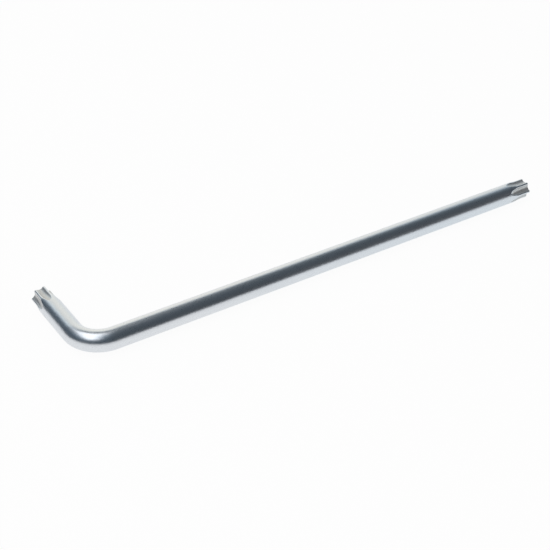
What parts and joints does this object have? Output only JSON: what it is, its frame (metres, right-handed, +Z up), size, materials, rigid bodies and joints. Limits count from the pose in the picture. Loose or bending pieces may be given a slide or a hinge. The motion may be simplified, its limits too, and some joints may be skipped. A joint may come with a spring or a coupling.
{
  "type": "star key",
  "caption": "L-shaped star key: a satin-chromed round steel bar bent to a long and a short leg, each end milled to a six-lobed star for turning screws.",
  "frame": {"origin": "middle of the part's footprint, on the surface it lies on", "axes": "+X along the long leg, away from the bend; +Y along the short leg, away from the bend; +Z up from the surface the key lies on"},
  "size_m": [0.2108, 0.0428, 0.0084],
  "materials": {
    "satin_chrome": "satin"
  },
  "bodies": {
    "root": {"long_star_tip": "satin_chrome", "long_arm": "satin_chrome", "bend": "satin_chrome", "short_arm": "satin_chrome", "short_star_tip": "satin_chrome"}
  },
  "joints": []
}
